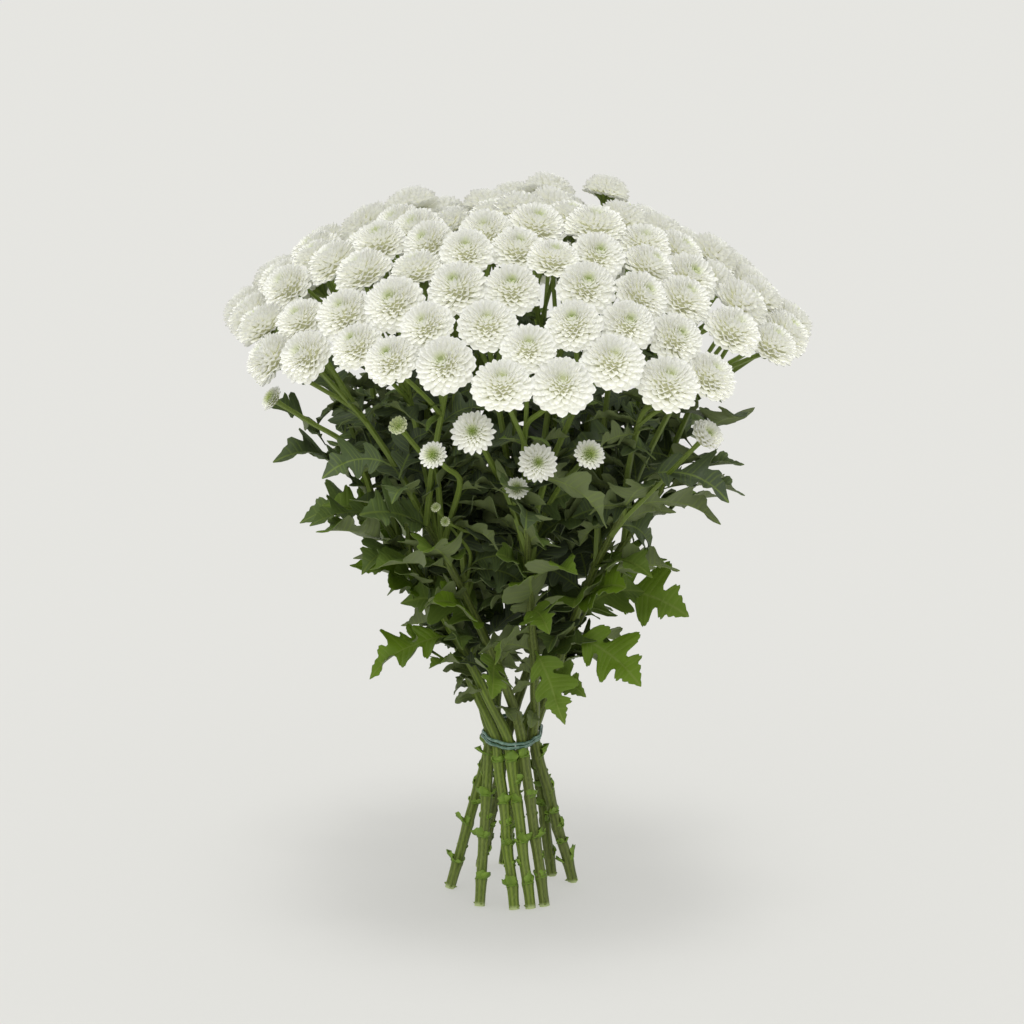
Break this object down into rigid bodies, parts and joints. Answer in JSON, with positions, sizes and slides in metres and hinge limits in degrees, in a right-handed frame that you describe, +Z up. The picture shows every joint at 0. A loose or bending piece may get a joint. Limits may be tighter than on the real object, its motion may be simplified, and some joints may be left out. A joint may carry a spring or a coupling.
{
  "type": "tied bunch of pompon chrysanthemums",
  "caption": "Standing hand-tied bunch of white pompon spray chrysanthemums: splayed green leafy stems, an elastic tie at the waist and a domed head of layered white blooms",
  "frame": {"origin": "middle of the bunch's box, on the surface that the cut stem ends stand on", "axes": "+Z up along the bunch, from the cut ends to the blooms; -Y is the side that faces the camera in the picture; +X is to the right seen from that side"},
  "size_m": [0.3868, 0.3906, 0.4859],
  "materials": {
    "green": "fresh green stem and leaf, softly waxy",
    "petal": "matt white petals",
    "tie": "glossy blue-green elastic"
  },
  "bodies": {
    "root": {"stem_1": "green", "stem_2": "green", "stem_3": "green", "stem_4": "green", "stem_5": "green", "stem_6": "green", "stem_7": "green", "stem_8": "green", "stem_9": "green", "elastic_tie": "tie", "blooms_01": "petal", "blooms_02": "petal", "blooms_03": "petal", "blooms_04": "petal", "blooms_05": "petal", "blooms_06": "petal", "blooms_07": "petal", "blooms_08": "petal", "blooms_09": "petal", "blooms_10": "petal", "blooms_11": "petal", "blooms_12": "petal", "blooms_13": "petal", "blooms_14": "petal", "blooms_15": "petal", "blooms_16": "petal", "blooms_17": "petal", "blooms_18": "petal", "blooms_19": "petal", "blooms_20": "petal", "blooms_21": "petal", "blooms_22": "petal", "blooms_23": "petal", "blooms_24": "petal", "blooms_25": "petal", "blooms_26": "petal", "blooms_27": "petal", "blooms_28": "petal", "blooms_29": "petal", "blooms_30": "petal", "blooms_31": "petal", "blooms_32": "petal", "blooms_33": "petal", "blooms_34": "petal", "blooms_35": "petal", "blooms_36": "petal", "blooms_37": "petal", "bloom_low_left": "petal", "bloom_low_left_large": "petal", "bloom_low_middle": "petal", "bloom_low_right": "petal", "bloom_half_open": "petal", "bloom_low_far_left": "petal", "bloom_high": "petal"}
  },
  "joints": []
}
